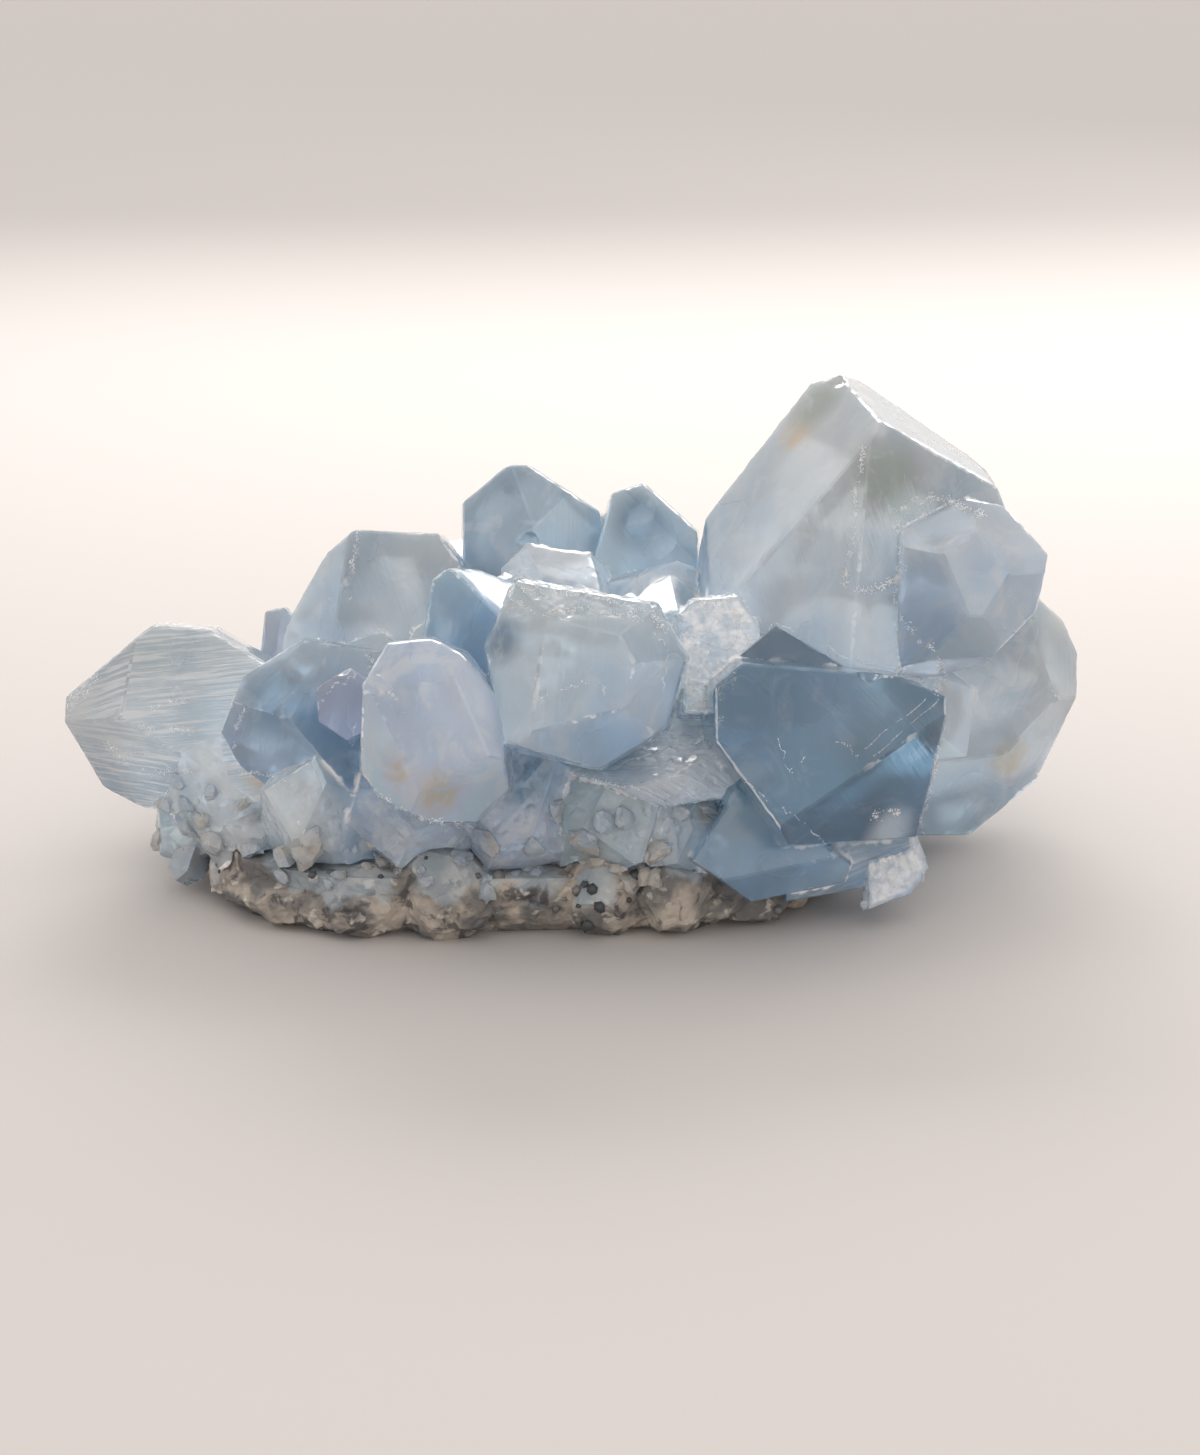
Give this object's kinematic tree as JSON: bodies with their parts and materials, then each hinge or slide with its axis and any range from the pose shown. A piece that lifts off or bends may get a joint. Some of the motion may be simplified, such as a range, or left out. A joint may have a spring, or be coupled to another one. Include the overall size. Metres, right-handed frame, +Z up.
{
  "type": "celestite crystal cluster",
  "caption": "Cluster of intergrown pale blue celestite crystals, milky and see-through, on a thin plate of grey and tan rock, resting on the flat foot of the plate.",
  "frame": {"origin": "middle of the cluster's box, on the surface that it rests on", "axes": "+X to the right along the cluster's length, +Y away from the viewer, +Z up"},
  "size_m": [0.1056, 0.0694, 0.0504],
  "materials": {
    "celestite": "glossy crystal faces over a milky, veined inside",
    "rock": "dull, gritty, grey and tan with dark rounded grains"
  },
  "bodies": {
    "root": {"crystals": "celestite", "matrix": "rock"}
  },
  "joints": []
}
